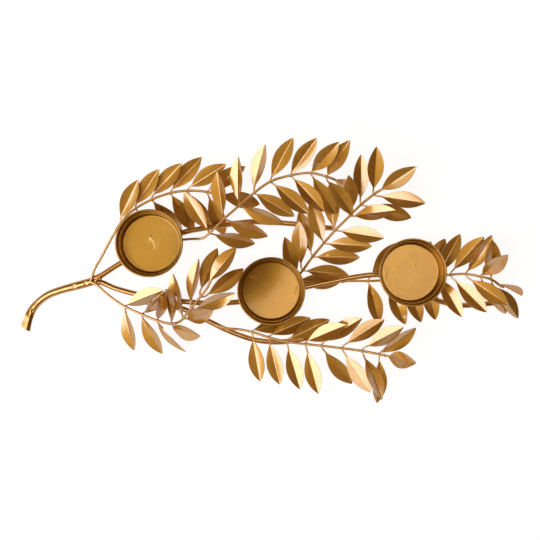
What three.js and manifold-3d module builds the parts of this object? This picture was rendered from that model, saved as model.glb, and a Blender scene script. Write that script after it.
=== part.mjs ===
// Leafy branch centerpiece: welded iron rods carry three candle cups and six sprigs of folded leaves.
// Millimetres, +Z up. It stands on the flattened stem end and on three twig ends that bend down.
import * as THREE from 'three';
import { mergeVertices } from 'three/addons/utils/BufferGeometryUtils.js';
import Module from 'manifold-3d';

// Driving dimensions.
const CLEARANCE = 0.3;
const STEM_DIAMETER = 10.4;
const STEM_WAIST_DIAMETER = 9.2;
const STEM_END_WIDTH = 13;
const STEM_END_HEIGHT = 4.4;
const ROD_DIAMETER = 6.8;
const WIRE_DIAMETER = 3.2;
const STALK_DIAMETER = 2.2;
const STALK_LAP = 7;
const STALK_SHOULDER = 4.2;
const STALK_STUB = 3.5;
const WELD_RUN = 7;
const LEAF_LENGTH = 52;
const LEAF_WIDTH = 21;
const LEAF_THICKNESS = 0.9;
const LEAF_FOLD = 20;
const LEAF_BOW = 2.5;
const LEAF_BASE_WIDTH = 2.6;
const LEAF_TIP_WIDTH = 1.4;
const CUP_DIAMETER = 84;
const CUP_FLOOR_DIAMETER = 73;
const CUP_HEIGHT = 24;
const CUP_SHEET = 1.4;
const CUP_RIM_BEAD = 3;
const CUP_CORNER_RADIUS = 3;
const ROD_HEIGHT = 20;
const FORK_STRAIGHT = 7;

// Facet counts.
const ROD_SIDES = 8;
const ROD_STEP = 13;
const WIRE_SIDES = 6;
const WIRE_STEP = 12;
const STALK_SIDES = 4;
const STEM_SIDES = 12;
const CUP_SIDES = 32;
const CORNER_STEPS = 2;
const BEAD_STEPS = 4;
const LEAF_STATIONS = [0, 0.16, 0.42, 0.74, 1];

// Paint colours.
const PAINT_COLOR = 0xb98a45;
const CUP_COLOR = 0xcb9c4a;
const LEAF_COLOR = 0xc08f48;

// Cup centres in plan.
const CUPS = [
  { name: 'cup_left', x: -149, y: 33 },
  { name: 'cup_center', x: 1.5, y: -26 },
  { name: 'cup_right', x: 176, y: -3 },
];

// Hammered stem, free end first: centre line and the width and height of its oval section.
const STEM_FOOT_RISE = (STEM_END_HEIGHT / 2) * Math.cos(Math.PI / STEM_SIDES);
const STEM_STATIONS = [
  { at: [-315, -76, STEM_FOOT_RISE], wide: STEM_END_WIDTH, high: STEM_END_HEIGHT },
  { at: [-311, -62, STEM_FOOT_RISE], wide: STEM_END_WIDTH - 2, high: STEM_END_HEIGHT },
  { at: [-306, -52, 4.6], wide: STEM_DIAMETER, high: STEM_END_HEIGHT + 2 },
  { at: [-297, -42, 8.5], wide: STEM_WAIST_DIAMETER, high: STEM_WAIST_DIAMETER },
  { at: [-283, -32, 12.5], wide: STEM_WAIST_DIAMETER, high: STEM_WAIST_DIAMETER },
  { at: [-264, -25, 16], wide: STEM_WAIST_DIAMETER, high: STEM_WAIST_DIAMETER },
  { at: [-241, -19, 18.8], wide: STEM_DIAMETER, high: STEM_DIAMETER },
  { at: [-223, -14, ROD_HEIGHT], wide: STEM_DIAMETER, high: STEM_DIAMETER },
];

// Routes of the three branch rods after the weld at their root. Each ends standing on the table.
const UPPER_BRANCH_ROUTE = [
  [-190, 8, ROD_HEIGHT], [-154, 27, ROD_HEIGHT], [-111, 47, ROD_HEIGHT], [-82, 53, ROD_HEIGHT],
  [-51, 58, 19], [-25, 61, 17], [13, 60, 13.5], [38, 58, 10.5], [61, 55, 8], [75, 54, 6],
  [79, 54, 3], [79, 54, 0],
];
const MIDDLE_BRANCH_ROUTE = [
  [-196, -23, ROD_HEIGHT], [-171, -30, ROD_HEIGHT], [-142, -36, ROD_HEIGHT], [-107, -40, ROD_HEIGHT],
  [-73, -42, ROD_HEIGHT], [-38, -40, ROD_HEIGHT], [1, -32, ROD_HEIGHT], [43, -22, ROD_HEIGHT],
  [82, -14, ROD_HEIGHT], [101, -10, ROD_HEIGHT], [137, -6, ROD_HEIGHT], [171, -12, ROD_HEIGHT],
  [212, -38, 15], [243, -45, 10], [269, -44, 7.5], [290, -42, 6], [295, -42, 3], [295, -42, 0],
];
const LOWER_BRANCH_ROUTE = [
  [-111, -49, ROD_HEIGHT], [-77, -65, 19], [-57, -75, 18], [-38, -83, 16], [-23, -88, 14],
  [-6, -91, 12], [13, -92, 9.5], [32, -90, 7.5], [45, -88, 6], [49, -88, 3], [49, -88, 0],
];

// Where a wire is welded along a rod: millimetres along it, and the side (0 left, 90 top, 180 right).
const LOWER_BRANCH_ROOT = { at: 68, side: 180 };

// Sprigs. A root says where the wire is welded: millimetres along the rod, and the side of it
// (0 left, 90 top, 180 right, seen along the rod). A row of pairs holds millimetres along the wire,
// then the left and the right leaf: splay from the wire, rise and roll in degrees, stalk in millimetres.
// The tip is the single leaf on the wire's own end: splay, rise and roll.
const SPRIGS = [
  {
    name: 'left_upper_sprig',
    root: { on: 'main_stem', at: 113, side: 70, across: true },
    route: [
      [-220, 1, 27.5], [-212, 15, 28], [-197, 42, 30], [-186, 60, 31], [-179, 68, 32], [-169, 76, 32],
      [-150, 87, 32], [-125, 96, 32], [-104, 99, 31.5], [-81, 98, 31], [-60, 93, 30],
    ],
    pairs: [
      [87, [7, 21, -2, 9], null],
      [112, [19, 21, -2, 9], null],
      [135, [21, 20, -1, 10], [71, -27, 14, 5]],
      [160, [32, 12, 3, 8], [73, -24, -2, 5]],
      [181, [27, 21, 2, 10], [62, -25, 10, 5]],
      [206, [41, 15, 0, 6], [59, -23, 0, 9]],
    ],
    tip: [3, -24, 2],
  },
  {
    name: 'left_lower_sprig',
    root: { on: 'main_stem', at: 113, side: 110, across: true },
    route: [
      [-217, -19, 27.5], [-208, -27, 28], [-198, -35, 28.5], [-183, -45, 30], [-161, -55, 32],
      [-141, -63, 33], [-123, -67, 33.5], [-112, -64, 33.5], [-104, -55, 33.5], [-88, -35, 34.5],
      [-78, -22, 36], [-73, -12, 37],
    ],
    pairs: [
      [58, [50, 20, -20, 5], [54, -14, 27, 7]],
      [82, [64, 35, 50, 6], [41, -12, 24, 5]],
      [103, [90, 57, 62, 5], [33, -24, 62, 6]],
      [121, [91, 42, 66, 5], [16, 46, 32, 5]],
      [138, [50, 18, -37, 7], [33, 49, 15, 8]],
      [154, [28, 8, -38, 11], [30, 18, 26, 9]],
      [173, [18, 0, -16, 12], [16, 0, 19, 12]],
    ],
    tip: [-12, 15, -17],
  },
  {
    name: 'upper_sprig',
    root: { on: 'upper_branch', at: 104, side: 180 },
    route: [
      [-101, 39, 21.5], [-84, 40, 27], [-76, 46, 30], [-57, 64, 35], [-38, 80, 39], [-20, 95, 43],
      [1, 109, 46.5], [25, 116, 49], [50, 119, 50], [71, 114, 49.5], [80, 111, 47],
    ],
    pairs: [
      [58, [81, 13, -10, 8], [53, -16, 24, 8]],
      [84, [55, 19, -27, 8], [64, -9, 28, 7]],
      [110, [51, 17, -41, 8], [63, 7, 37, 6]],
      [134, [39, 14, -30, 9], [67, 3, 3, 5]],
      [159, [35, 16, -6, 8], [66, 3, -2, 9]],
      [185, [41, 26, -2, 5], [58, -4, -9, 8]],
      [210, [49, 39, 8, 5], [53, -15, 6, 8]],
      [230, [74, 37, -10, 5], [40, 21, -11, 9]],
    ],
    tip: [-8, -52, 0],
  },
  {
    name: 'center_sprig',
    root: { on: 'middle_branch', at: 238, side: -50 },
    route: [
      [34, -10, 16], [41, -1, 18], [54, 17, 21.5], [68, 34, 24.5], [82, 50, 27], [100, 68, 30],
      [113, 81, 33.5], [129, 94, 37], [140, 101, 40],
    ],
    pairs: [
      [26, [58, 17, 17, 5], [48, -9, 0, 7]],
      [41, [40, 12, -13, 11], [59, -4, -6, 7]],
      [63, [53, -4, 6, 8], [53, 5, -4, 7]],
      [85, [58, 13, -10, 5], [53, 12, -1, 8]],
      [107, [50, 3, -10, 5], [57, 18, 2, 10]],
      [133, [51, 42, 12, 8], [39, 30, -15, 8]],
      [152, [50, 22, 5, 11], [56, -1, 2, 13]],
      [172, [54, 30, 3, 10], [46, 13, 0, 12]],
    ],
    tip: [0, 38, 4],
  },
  {
    name: 'lower_sprig',
    root: { on: 'lower_branch', at: 100, side: 70 },
    route: [
      [-38, -75, 23], [-23, -78, 24], [-1, -85, 24.5], [20, -90, 25], [44, -93, 26], [64, -95, 27],
      [90, -98, 29], [114, -101, 31.5], [136, -105, 34], [150, -108, 36],
    ],
    pairs: [
      [42, [27, -13, 2, 5], [66, -4, 10, 12]],
      [64, [38, -8, -10, 7], [61, -4, 10, 10]],
      [87, [35, -1, -3, 9], [64, -2, 2, 11]],
      [111, [32, 24, -18, 8], [69, -1, 8, 13]],
      [131, [41, 17, -24, 11], [44, -8, 18, 12]],
      [157, [40, 4, -19, 12], [50, 7, 12, 13]],
      [182, [42, 31, -21, 13], [60, 20, -24, 13]],
      [204, [48, 20, 27, 5], [80, -4, -18, 10]],
    ],
    tip: [7, 65, 3],
  },
  {
    name: 'right_sprig',
    root: { on: 'middle_branch', at: 318, side: 230 },
    route: [
      [125, -14, 15], [150, -13, 14], [173, -12, 13.8], [196, -9, 14], [213, -7, 15.5], [228, -6, 18],
      [246, -5, 23], [263, -8, 27.5], [278, -12, 28], [290, -20, 26],
    ],
    pairs: [
      [35, [49, -3, -11, 11], [76, -7, -13, 5]],
      [60, [50, -8, 0, 8], [70, -3, 7, 9]],
      [83, [49, -8, 0, 8], [74, -6, 5, 7]],
      [106, [51, -8, 0, 6], [80, -8, 0, 6]],
      [124, [57, 5, -5, 7], [68, 17, 1, 8]],
      [139, [46, 14, -19, 11], [50, 9, 2, 13]],
      [158, [64, 24, 15, 7], [31, 8, 8, 13]],
      [177, [64, 58, 0, 6], [37, -19, -18, 13]],
      [192, [126, 36, 0, 7], [23, -14, -22, 13]],
    ],
    tip: [-10, 74, -50],
  },
];

const wasm = await Module();
wasm.setup();

const UP = new THREE.Vector3(0, 0, 1);
const radians = THREE.MathUtils.degToRad;
const toVector = (point) => new THREE.Vector3(...point);
const heading = (degrees) => new THREE.Vector3(Math.cos(radians(degrees)), Math.sin(radians(degrees)), 0);

// A closed geometry with only its positions, its shared corners merged.
function bare(geometry) {
  const plain = geometry.clone();
  plain.deleteAttribute('normal');
  plain.deleteAttribute('uv');
  return mergeVertices(plain, 1e-4);
}

function solidOf(geometry) {
  const merged = bare(geometry);
  return new wasm.Manifold(new wasm.Mesh({
    numProp: 3,
    vertProperties: new Float32Array(merged.attributes.position.array),
    triVerts: new Uint32Array(merged.index.array),
  }));
}

// Several closed geometries welded into one.
function welded(geometries) {
  const mesh = geometries.map(solidOf).reduce((whole, piece) => whole.add(piece)).getMesh();
  const geometry = new THREE.BufferGeometry();
  geometry.setAttribute('position', new THREE.BufferAttribute(mesh.vertProperties, 3));
  geometry.setIndex(new THREE.BufferAttribute(mesh.triVerts, 1));
  geometry.computeVertexNormals();
  return geometry;
}

// A regular polygon standing on one flat side, to sweep along a path.
function roundSection(diameter, sides) {
  const corners = Array.from({ length: sides }, (_, i) => {
    const angle = (2 * Math.PI * (i + 0.5)) / sides;
    return new THREE.Vector2(Math.cos(angle), Math.sin(angle)).multiplyScalar(diameter / 2);
  });
  return new THREE.Shape(corners);
}

function routeCurve(points) {
  const curve = new THREE.CatmullRomCurve3(points, false, 'centripetal');
  curve.arcLengthDivisions = 100 * points.length;
  return curve;
}

function rodAlong(curve, diameter, sides, step) {
  return new THREE.ExtrudeGeometry(roundSection(diameter, sides), {
    steps: Math.round(curve.getLength() / step),
    extrudePath: curve,
    bevelEnabled: false,
  });
}

// A wire bent at given points, with one ring of corners at each of them.
class BentWire extends THREE.Curve {
  constructor(points) {
    super();
    this.points = points;
  }

  getPoint(t, target = new THREE.Vector3()) {
    const place = Math.min(t, 1) * (this.points.length - 1);
    const leg = Math.min(Math.floor(place), this.points.length - 2);
    return target.lerpVectors(this.points[leg], this.points[leg + 1], place - leg);
  }

  getUtoTmapping(u) {
    return u;
  }
}

// Point and directions of a route at a distance along it.
function frameAt(curve, distance) {
  const share = distance / curve.getLength();
  const ahead = curve.getTangentAt(share);
  const left = new THREE.Vector3().crossVectors(UP, ahead).normalize();
  const above = new THREE.Vector3().crossVectors(ahead, left);
  return { point: curve.getPointAt(share), ahead, left, above };
}

// A point on the given side of a rod, clear of it by a distance from its centre line.
function beside(curve, at, side, distance) {
  const { point, left, above } = frameAt(curve, at);
  const lean = radians(side);
  point.addScaledVector(left, distance * Math.cos(lean));
  return point.addScaledVector(above, distance * Math.sin(lean));
}

// Two points that lay the root of a wire along the rod that carries it.
function weldedRoot(curve, root, distance) {
  const start = beside(curve, root.at, root.side, distance);
  if (root.across) return [start];
  return [start, beside(curve, root.at + WELD_RUN, root.side, distance)];
}

// One stamped leaf, folded up on both sides of its midrib, from its base along +X with its face to +Z.
function leafGeometry() {
  const fold = radians(LEAF_FOLD);
  const sheet = LEAF_THICKNESS / Math.cos(fold);
  const corners = [];
  const triangles = [];
  const ring = 6;
  for (const t of LEAF_STATIONS) {
    const endWidth = THREE.MathUtils.lerp(LEAF_BASE_WIDTH, LEAF_TIP_WIDTH, t);
    const swell = Math.pow(Math.max(Math.sin(Math.PI * Math.pow(t, 1.08)), 0), 0.85);
    const half = Math.max(LEAF_WIDTH * swell, endWidth) / 2;
    const rib = -LEAF_BOW * t * t;
    const edge = rib + half * Math.sin(fold);
    const reach = half * Math.cos(fold);
    const x = LEAF_LENGTH * t;
    corners.push(x, reach, edge, x, 0, rib, x, -reach, edge);
    corners.push(x, -reach, edge - sheet, x, 0, rib - sheet, x, reach, edge - sheet);
  }
  for (let station = 0; station < LEAF_STATIONS.length - 1; station += 1) {
    for (let side = 0; side < ring; side += 1) {
      const a = station * ring + side;
      const b = station * ring + (side + 1) % ring;
      triangles.push(a, b, a + ring, b, b + ring, a + ring);
    }
  }
  const tip = (LEAF_STATIONS.length - 1) * ring;
  for (const [a, b, c] of [[0, 5, 1], [5, 4, 1], [1, 4, 2], [4, 3, 2]]) {
    triangles.push(a, b, c, tip + a, tip + c, tip + b);
  }
  const geometry = new THREE.BufferGeometry();
  geometry.setAttribute('position', new THREE.Float32BufferAttribute(corners, 3));
  geometry.setIndex(triangles);
  return geometry;
}

const LEAF = leafGeometry();

// The leaf laid on the wire that carries it: base point, plan bearing, rise of the tip and roll, in degrees.
function leafOn(base, bearing, rise, roll, carrierDiameter) {
  const lift = carrierDiameter / 2 + LEAF_THICKNESS - CLEARANCE;
  const place = new THREE.Matrix4().makeTranslation(base)
    .multiply(new THREE.Matrix4().makeRotationZ(radians(bearing)))
    .multiply(new THREE.Matrix4().makeRotationY(radians(-rise)))
    .multiply(new THREE.Matrix4().makeRotationX(radians(roll)))
    .multiply(new THREE.Matrix4().makeTranslation(0, 0, lift));
  return LEAF.clone().applyMatrix4(place);
}

// Direction in space of a leaf that points along a bearing and rises.
function leafDirection(bearing, rise) {
  return heading(bearing).multiplyScalar(Math.cos(radians(rise))).setZ(Math.sin(radians(rise)));
}

// A pair of leaves on one bent stalk, laid under the sprig wire.
function leafPair(curve, at, leaves) {
  const { point, ahead, above } = frameAt(curve, at);
  const crossing = point.addScaledVector(above, -(WIRE_DIAMETER + STALK_DIAMETER) / 2 - CLEARANCE);
  const course = THREE.MathUtils.radToDeg(Math.atan2(ahead.y, ahead.x));
  const pieces = [];
  const legs = leaves.map((leaf, index) => {
    const side = index === 0 ? 1 : -1;
    if (!leaf) return [crossing.clone().addScaledVector(heading(course + 90 * side), STALK_STUB)];
    const [splay, rise, roll, stalk] = leaf;
    const bearing = course + side * splay;
    const outward = heading(course + side * Math.max(splay, 60));
    const shoulder = crossing.clone().addScaledVector(outward, STALK_SHOULDER);
    const direction = leafDirection(bearing, rise);
    const base = shoulder.clone().addScaledVector(direction, stalk - STALK_SHOULDER);
    pieces.push(leafOn(base, bearing, rise, roll, STALK_DIAMETER));
    return [shoulder, base.clone().addScaledVector(direction, STALK_LAP)];
  });
  const bends = [...legs[0].reverse(), crossing, ...legs[1]];
  const stalk = new THREE.ExtrudeGeometry(roundSection(STALK_DIAMETER, STALK_SIDES), {
    steps: bends.length - 1,
    extrudePath: new BentWire(bends),
    bevelEnabled: false,
  });
  return welded([stalk, ...pieces]);
}

// The sprig wire, run on under the single leaf on its own end.
function sprigStem(curve, { tip }) {
  const [splay, rise, roll] = tip;
  const { point, ahead } = frameAt(curve, curve.getLength());
  const bearing = THREE.MathUtils.radToDeg(Math.atan2(ahead.y, ahead.x)) + splay;
  const lap = point.clone().addScaledVector(leafDirection(bearing, rise), STALK_LAP);
  const wire = rodAlong(routeCurve([...curve.points, lap]), WIRE_DIAMETER, WIRE_SIDES, WIRE_STEP);
  return welded([wire, leafOn(point, bearing, rise, roll, WIRE_DIAMETER)]);
}

// Hammered stem: oval rings in upright planes across its course, closed at both ends.
function stemGeometry() {
  const corners = [];
  const triangles = [];
  const last = STEM_STATIONS.length - 1;
  STEM_STATIONS.forEach(({ at, wide, high }, index) => {
    const before = toVector(STEM_STATIONS[Math.max(index - 1, 0)].at);
    const after = toVector(STEM_STATIONS[Math.min(index + 1, last)].at);
    const left = new THREE.Vector3().crossVectors(UP, after.sub(before)).normalize();
    for (let side = 0; side < STEM_SIDES; side += 1) {
      const angle = (2 * Math.PI * (side + 0.5)) / STEM_SIDES;
      const corner = toVector(at).addScaledVector(left, (wide / 2) * Math.sin(angle));
      corner.addScaledVector(UP, (high / 2) * Math.cos(angle));
      corners.push(corner.x, corner.y, corner.z);
    }
  });
  for (let station = 0; station < last; station += 1) {
    for (let side = 0; side < STEM_SIDES; side += 1) {
      const a = station * STEM_SIDES + side;
      const b = station * STEM_SIDES + (side + 1) % STEM_SIDES;
      triangles.push(a, a + STEM_SIDES, b, b, a + STEM_SIDES, b + STEM_SIDES);
    }
  }
  for (let side = 1; side < STEM_SIDES - 1; side += 1) {
    const end = last * STEM_SIDES;
    triangles.push(0, side, side + 1, end, end + side + 1, end + side);
  }
  const geometry = new THREE.BufferGeometry();
  geometry.setAttribute('position', new THREE.Float32BufferAttribute(corners, 3));
  geometry.setIndex(triangles);
  geometry.computeVertexNormals();
  return geometry;
}

// Points of an arc in the profile of a cup, from one angle to another in degrees.
function arcPoints(x, y, radius, from, to, steps) {
  return Array.from({ length: steps + 1 }, (_, index) => {
    const angle = radians(THREE.MathUtils.lerp(from, to, index / steps));
    return new THREE.Vector2(x + radius * Math.cos(angle), y + radius * Math.sin(angle));
  });
}

// Pressed cup with a rolled rim, standing on its own bottom at the origin.
function cupGeometry() {
  const rim = CUP_DIAMETER / 2;
  const floor = CUP_FLOOR_DIAMETER / 2;
  const bead = CUP_RIM_BEAD / 2;
  const inner = floor - CUP_CORNER_RADIUS;
  const outerRadius = CUP_CORNER_RADIUS + CUP_SHEET;
  const beadFoot = CUP_HEIGHT - 2 * bead;
  const profile = [
    new THREE.Vector2(0, 0),
    ...arcPoints(inner, outerRadius, outerRadius, -90, 0, CORNER_STEPS),
    new THREE.Vector2(rim - CUP_RIM_BEAD + CUP_SHEET, beadFoot),
    ...arcPoints(rim - bead, CUP_HEIGHT - bead, bead, -80, 180, BEAD_STEPS),
    ...arcPoints(inner, outerRadius, CUP_CORNER_RADIUS, 0, -90, CORNER_STEPS),
    new THREE.Vector2(0, CUP_SHEET),
  ];
  return new THREE.LatheGeometry(profile, CUP_SIDES).rotateX(Math.PI / 2);
}

const stemCurve = routeCurve(STEM_STATIONS.map(({ at }) => toVector(at)));

// A branch rod that butts against the end of the stem, to the given side of its centre line.
function forkCurve(side, route) {
  const { point, ahead, left } = frameAt(stemCurve, stemCurve.getLength());
  const ahead2 = ahead.clone().setZ(0).normalize();
  const start = point.addScaledVector(left, side * (ROD_DIAMETER + CLEARANCE) / 2);
  start.addScaledVector(ahead2, CLEARANCE).setZ(ROD_HEIGHT);
  const straight = start.clone().addScaledVector(ahead2, FORK_STRAIGHT);
  return routeCurve([start, straight, ...route.map(toVector)]);
}

const upperCurve = forkCurve(1, UPPER_BRANCH_ROUTE);
const middleCurve = forkCurve(-1, MIDDLE_BRANCH_ROUTE);
const lowerRoot = weldedRoot(middleCurve, LOWER_BRANCH_ROOT, ROD_DIAMETER + CLEARANCE);
const lowerCurve = routeCurve([...lowerRoot, ...LOWER_BRANCH_ROUTE.map(toVector)]);
const RODS = {
  main_stem: stemCurve,
  upper_branch: upperCurve,
  middle_branch: middleCurve,
  lower_branch: lowerCurve,
};

// A sprig wire: welded beside its rod, or across the top of the stem, then along its own route.
function sprigCurve({ root, route }) {
  const carrier = root.on === 'main_stem' ? STEM_DIAMETER : ROD_DIAMETER;
  const run = weldedRoot(RODS[root.on], root, (carrier + WIRE_DIAMETER) / 2 + CLEARANCE);
  return routeCurve([...run, ...route.map(toVector)]);
}

// Brushed gold paint, one material for each piece.
function goldPaint(color = PAINT_COLOR) {
  return new THREE.MeshStandardMaterial({ color, roughness: 0.4, metalness: 0.9 });
}

const branch = new THREE.Group();

function addPiece(name, geometry, color) {
  const mesh = new THREE.Mesh(geometry, goldPaint(color));
  mesh.name = name;
  branch.add(mesh);
  return mesh;
}

addPiece('main_stem', stemGeometry());
addPiece('upper_branch', rodAlong(upperCurve, ROD_DIAMETER, ROD_SIDES, ROD_STEP));
addPiece('middle_branch', rodAlong(middleCurve, ROD_DIAMETER, ROD_SIDES, ROD_STEP));
addPiece('lower_branch', rodAlong(lowerCurve, ROD_DIAMETER, ROD_SIDES, ROD_STEP));

for (const { name, x, y } of CUPS) {
  addPiece(name, cupGeometry(), CUP_COLOR).position.set(x, y, ROD_HEIGHT + ROD_DIAMETER / 2 + CLEARANCE);
}

for (const sprig of SPRIGS) {
  const curve = sprigCurve(sprig);
  addPiece(sprig.name, sprigStem(curve, sprig), LEAF_COLOR);
  sprig.pairs.forEach(([at, left, right], index) => {
    addPiece(`${sprig.name}_leaves_${index + 1}`, leafPair(curve, at, [left, right]), LEAF_COLOR);
  });
}

// The origin is under the middle of the centerpiece, on the table.
const centerpiece = new THREE.Group();
centerpiece.add(branch);
const box = new THREE.Box3().setFromObject(branch);
const middle = box.getCenter(new THREE.Vector3());
branch.position.set(-middle.x, -middle.y, -box.min.z);

export default centerpiece;
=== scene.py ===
# %% [markdown]
# # A gold leafy branch that carries three candle cups
# The real object is welded iron: a hammered stem, three rods, six wires with folded leaves, and three
# pressed cups with rolled rims, all sprayed with gold paint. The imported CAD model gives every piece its
# place. This lesson rebuilds each piece as a finer mesh on the same routes, and gives it its finish.

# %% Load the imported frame
import math
import random

import bpy
import numpy as np
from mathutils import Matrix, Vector, noise


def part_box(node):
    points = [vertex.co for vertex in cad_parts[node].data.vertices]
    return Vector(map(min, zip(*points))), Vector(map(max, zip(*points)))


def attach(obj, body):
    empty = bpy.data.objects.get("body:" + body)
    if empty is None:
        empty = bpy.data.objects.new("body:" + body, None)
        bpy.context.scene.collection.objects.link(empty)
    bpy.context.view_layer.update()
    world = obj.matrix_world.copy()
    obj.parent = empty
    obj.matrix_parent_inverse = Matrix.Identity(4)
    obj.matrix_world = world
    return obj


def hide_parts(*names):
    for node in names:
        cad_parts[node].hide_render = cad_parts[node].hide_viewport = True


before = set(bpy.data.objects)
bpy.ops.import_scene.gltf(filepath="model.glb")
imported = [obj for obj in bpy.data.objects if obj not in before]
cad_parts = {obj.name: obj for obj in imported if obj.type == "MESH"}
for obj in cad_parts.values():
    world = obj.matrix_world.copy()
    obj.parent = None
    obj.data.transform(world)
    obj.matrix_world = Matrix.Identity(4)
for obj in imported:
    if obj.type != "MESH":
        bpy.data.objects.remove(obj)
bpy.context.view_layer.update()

# %% [markdown]
# ## Bench drawing
# Routes are written in millimetres, as a metal worker would measure them on the bench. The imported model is
# centred on its own box, so the middle cup tells how far the bench drawing was moved. Finished objects could
# be moved by that much, but moving the corners leaves every object at the origin of the frame.

# %% Bench drawing to metres
MM = 0.001
CUP_PLACES = {"cup_left": (-149, 33), "cup_center": (1.5, -26), "cup_right": (176, -3)}
cup_low, cup_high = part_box("cup_center")
cup_middle = (cup_low + cup_high) / 2 / MM
BENCH_SHIFT = np.array([
    cup_middle.x - CUP_PLACES["cup_center"][0],
    cup_middle.y - CUP_PLACES["cup_center"][1],
    0.0,
])
print("bench drawing moved by", BENCH_SHIFT.round(2), "mm")

# %% [markdown]
# ## Bent wire
# Every rod and wire was bent by hand through a few points. A centripetal spline passes through such points
# without overshooting, so it is close to how a wire bends. Blender's own curve objects can't be asked for
# the point at a given length, and the leaves need that, so the spline is sampled here with numpy.

# %% Directions
def unit(vector):
    return vector / np.linalg.norm(vector)


def heading(degrees, rise=0.0):
    """Direction with a plan bearing that climbs by a rise."""
    turn, climb = math.radians(degrees), math.radians(rise)
    return np.array([math.cos(turn) * math.cos(climb), math.sin(turn) * math.cos(climb), math.sin(climb)])


print("a bearing of 90 degrees that climbs by 30 points to", heading(90, 30).round(3))

# %% Routes
SPLINE_STEPS = 24
LOOK_AHEAD = 0.05


class Route:
    """A smooth line through bench points, measured by its length."""

    def __init__(self, points):
        self.points = np.array(points, float)
        ends = [2 * self.points[0] - self.points[1], 2 * self.points[-1] - self.points[-2]]
        knots = np.vstack([ends[:1], self.points, ends[1:]])
        steps = np.linspace(0, 1, SPLINE_STEPS, endpoint=False)[:, None]
        runs = [self.run(knots[i:i + 4], steps) for i in range(len(self.points) - 1)]
        self.line = np.vstack(runs + [self.points[-1:]])
        legs = np.linalg.norm(np.diff(self.line, axis=0), axis=1)
        self.reach = np.concatenate([[0.0], np.cumsum(legs)])
        self.length = self.reach[-1]

    @staticmethod
    def run(knots, t):
        """Points of the spline between the second and the third of four knots."""
        before, start, end, after = knots
        gaps = np.sqrt(np.linalg.norm(np.diff(knots, axis=0), axis=1))
        leave = (start - before) / gaps[0] - (end - before) / (gaps[0] + gaps[1]) + (end - start) / gaps[1]
        arrive = (end - start) / gaps[1] - (after - start) / (gaps[1] + gaps[2]) + (after - end) / gaps[2]
        leave, arrive = leave * gaps[1], arrive * gaps[1]
        square, cube = t * t, t * t * t
        return (start + leave * t + (3 * (end - start) - 2 * leave - arrive) * square
                + (2 * (start - end) + leave + arrive) * cube)

    def at(self, distance):
        return np.array([np.interp(distance, self.reach, self.line[:, axis]) for axis in range(3)]).T

    def frame(self, distance):
        """Point, direction ahead, direction to the left and direction above, at a length along the route."""
        distance = min(max(distance, LOOK_AHEAD), self.length - LOOK_AHEAD)
        ahead = unit(self.at(distance + LOOK_AHEAD) - self.at(distance - LOOK_AHEAD))
        left = unit(np.cross([0, 0, 1], ahead))
        return self.at(distance), ahead, left, np.cross(ahead, left)

    def spaced(self, step):
        return self.at(np.linspace(0, self.length, max(2, round(self.length / step))))


bend = Route([(0, 0, 0), (10, 0, 0), (10, 10, 0)])
print("a bend through three points measures", round(bend.length, 1), "mm")

# %% [markdown]
# ## Forged bar
# Rods and wires are round bar, forged and bent by hand. A curve object with a bevel would give a clean tube,
# but forging leaves shallow dents, which break up the highlights along the rod. So a ring of corners is
# carried along the route, turned only as much as the route turns, and smooth noise moves each corner in or
# out. The dents are real geometry that way.

# %% Swept rods
DENT_SIZE, END_CHAMFER = 9.0, 0.35
# Keeps a cross product from vanishing where a direction is upright.
NUDGE = np.array([1e-6, 0, 0])


def ring_faces(rings, sides):
    return [
        (ring * sides + side, ring * sides + (side + 1) % sides,
         (ring + 1) * sides + (side + 1) % sides, (ring + 1) * sides + side)
        for ring in range(rings - 1) for side in range(sides)
    ]


def swept(path, radius, sides, dent=0.0):
    """A rod of one radius along a path of points, with chamfered ends and with dents of a given depth."""
    start, end = unit(path[1] - path[0]) * END_CHAMFER, unit(path[-1] - path[-2]) * END_CHAMFER
    path = np.vstack([path[:1], path[:1] + start, path[1:-1], path[-1:] - end, path[-1:]])
    radii = np.full(len(path), float(radius))
    radii[[0, -1]] -= END_CHAMFER
    ahead = np.gradient(path, axis=0)
    ahead /= np.linalg.norm(ahead, axis=1)[:, None]
    across = unit(np.cross([0, 0, 1], ahead[0]) + NUDGE)
    corners = []
    angles = np.linspace(0, 2 * math.pi, sides, endpoint=False)
    for point, direction, reach in zip(path, ahead, radii):
        across = unit(across - direction * across.dot(direction))
        above = np.cross(direction, across)
        for angle in angles:
            outward = across * math.cos(angle) + above * math.sin(angle)
            swell = dent * noise.noise(Vector((point + outward * reach) / DENT_SIZE)) if dent else 0.0
            corners.append(point + outward * (reach + swell))
    faces = ring_faces(len(path), sides)
    faces += [tuple(range(sides))[::-1], tuple(range((len(path) - 1) * sides, len(path) * sides))]
    return np.array(corners), faces


print("the bend as a rod has", len(swept(bend.line, 1.6, 14)[0]), "corners")

# %% [markdown]
# Where two pieces meet, the weld leaves a small lumpy bead. A sphere primitive would look too regular, so a
# bead is a ball that is stretched along the seam, with its corners pushed in and out by noise.

# %% Weld beads
BEAD_RINGS, BEAD_SIDES, LUMPS_PER_BEAD = 7, 12, 1.7


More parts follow.
